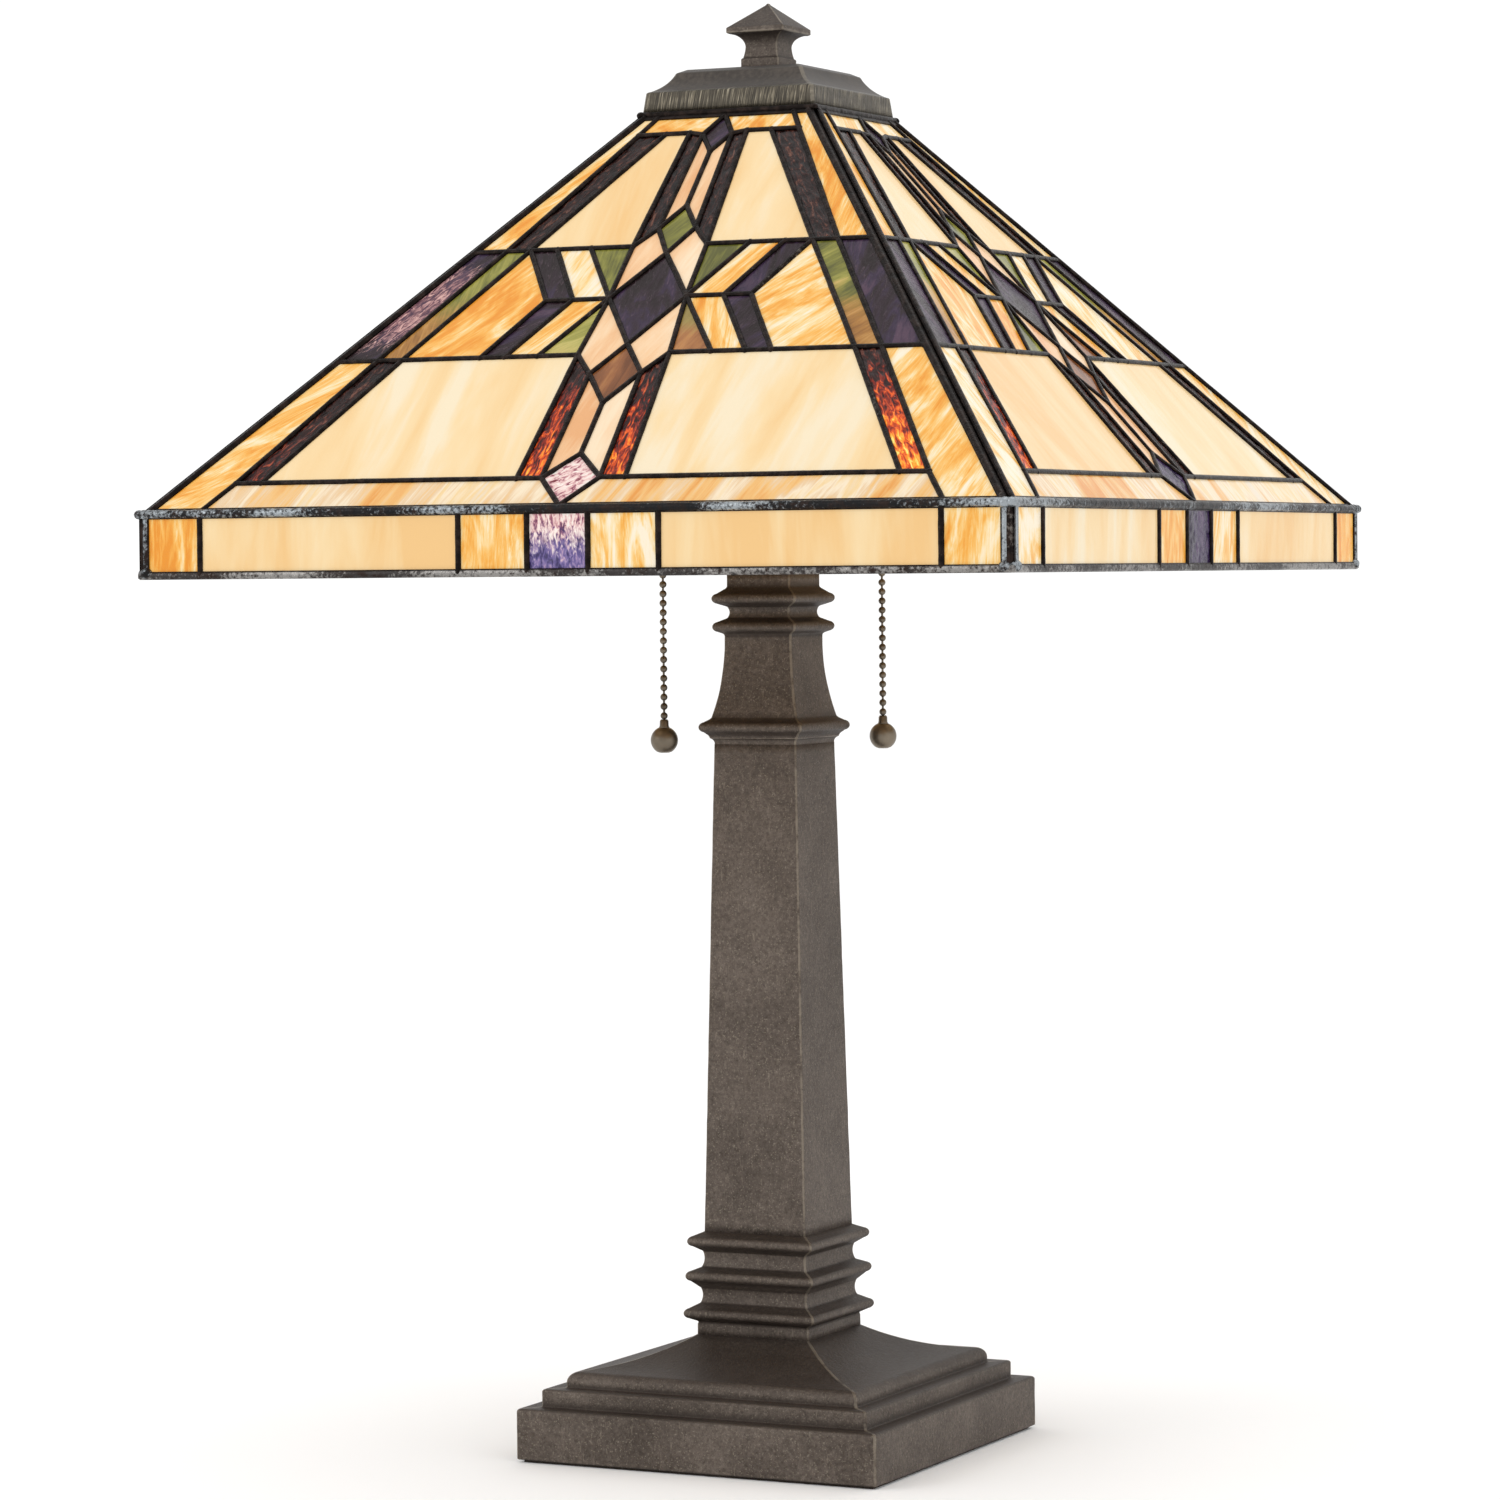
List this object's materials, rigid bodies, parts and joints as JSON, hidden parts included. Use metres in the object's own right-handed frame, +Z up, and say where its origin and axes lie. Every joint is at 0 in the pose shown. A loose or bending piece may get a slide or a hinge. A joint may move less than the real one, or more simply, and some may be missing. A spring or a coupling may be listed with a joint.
{
  "type": "stained glass table lamp",
  "caption": "Table lamp with a square pyramid shade of leaded glass panels, a tapered square column on a stepped foot, pull chain sockets and a pointed finial.",
  "frame": {"origin": "centre of the foot's underside, on the surface the lamp stands on", "axes": "+Z up the column, -Y towards the front panel, +X to the front panel's right"},
  "size_m": [0.4024, 0.4024, 0.635],
  "materials": {
    "felt": "dark brown felt",
    "bronze": "cast, weathered bronze finish with fine pale speckle and rubbed edges",
    "ballast": "rough casting",
    "zinc": "zinc plated",
    "rubber": "black",
    "brass": "satin",
    "cardboard": "pressed fibre",
    "switch_body": "moulded phenolic",
    "aluminium": "rolled thread",
    "solder": "patinated solder, near black with pewter highlights",
    "chain": "antique bronze bead chain",
    "bulb": "frosted",
    "cream_glass": "opalescent, soft streaks",
    "amber_glass": "opalescent, orange and white swirls",
    "peach_glass": "opalescent",
    "plum_glass": "streaky plum",
    "green_glass": "olive opalescent",
    "honey_glass": "honey brown",
    "ripple_glass": "rippled red-brown",
    "mauve_glass": "iridescent, hammered",
    "border_glass": "amber and white streaks"
  },
  "bodies": {
    "base": {"felt_pad": "felt", "base_casting": "bronze", "base_weight": "ballast", "bottom_nut": "zinc", "bottom_washer": "zinc", "cord_bushing": "rubber", "column_foot": "bronze", "column_shaft": "bronze", "column_capital": "bronze", "threaded_pipe": "zinc", "column_top_washer": "zinc", "cluster_spacer": "bronze", "cluster_body": "bronze", "cluster_cover": "bronze", "cluster_nut": "zinc", "socket_nipples": "zinc", "socket_liners": "cardboard", "chain_guides": "brass", "shade_lock_nut": "zinc", "left_socket_cap": "brass", "left_socket_shell": "brass", "left_socket_switch": "switch_body", "left_socket_screw_shell": "aluminium", "right_socket_cap": "brass", "right_socket_shell": "brass", "right_socket_switch": "switch_body", "right_socket_screw_shell": "aluminium"},
    "shade_seat": {"shade_seat_washer": "zinc"},
    "shade": {"front_panel_lead": "solder", "right_panel_lead": "solder", "back_panel_lead": "solder", "left_panel_lead": "solder", "skirt_lead": "solder", "hip_seams": "solder", "corner_seams": "solder", "rim_came": "solder", "crown_ring": "solder", "shade_cap": "bronze", "cream_glass": "cream_glass", "amber_glass": "amber_glass", "peach_glass": "peach_glass", "plum_glass": "plum_glass", "green_glass": "green_glass", "honey_glass": "honey_glass", "ripple_glass": "ripple_glass", "mauve_glass": "mauve_glass", "border_glass": "border_glass"},
    "finial": {"finial": "bronze"},
    "left_switch_chain": {"left_switch_chain": "chain"},
    "left_pull_chain": {"left_pull_chain": "chain", "left_chain_ball": "chain"},
    "left_bulb": {"left_bulb_glass": "bulb", "left_bulb_base": "aluminium"},
    "right_switch_chain": {"right_switch_chain": "chain"},
    "right_pull_chain": {"right_pull_chain": "chain", "right_chain_ball": "chain"},
    "right_bulb": {"right_bulb_glass": "bulb", "right_bulb_base": "aluminium"}
  },
  "joints": [
    {"name": "shade_turn", "type": "hinge", "parent": "base", "child": "shade_seat", "pos_m": [0, 0, 0.6036], "axis": [0, 0, 1], "continuous": true},
    {"name": "shade_lift", "type": "slide", "parent": "shade_seat", "child": "shade", "axis": [0, 0, 1], "range_m": [0, 0.24]},
    {"name": "finial_turn", "type": "hinge", "parent": "shade", "child": "finial", "pos_m": [0, 0, 0.6052], "axis": [0, 0, 1], "continuous": true},
    {"name": "left_chain_pull", "type": "slide", "parent": "base", "child": "left_switch_chain", "axis": [0, 0, -1], "range_m": [0, 0.012], "stiffness_N_per_m": 250},
    {"name": "left_chain_swing", "type": "hinge", "parent": "left_switch_chain", "child": "left_pull_chain", "pos_m": [-0.03606, -0.03606, 0.3995], "axis": [-0.7071, -0.7071, 0], "range_deg": [-30, 30]},
    {"name": "left_bulb_out", "type": "slide", "parent": "base", "child": "left_bulb", "axis": [-0.7071, -0.7071, 0], "range_m": [0, 0.027]},
    {"name": "right_chain_pull", "type": "slide", "parent": "base", "child": "right_switch_chain", "axis": [0, 0, -1], "range_m": [0, 0.012], "stiffness_N_per_m": 250},
    {"name": "right_chain_swing", "type": "hinge", "parent": "right_switch_chain", "child": "right_pull_chain", "pos_m": [0.03606, 0.03606, 0.3995], "axis": [0.7071, 0.7071, 0], "range_deg": [-30, 30]},
    {"name": "right_bulb_out", "type": "slide", "parent": "base", "child": "right_bulb", "axis": [0.7071, 0.7071, 0], "range_m": [0, 0.027]}
  ]
}
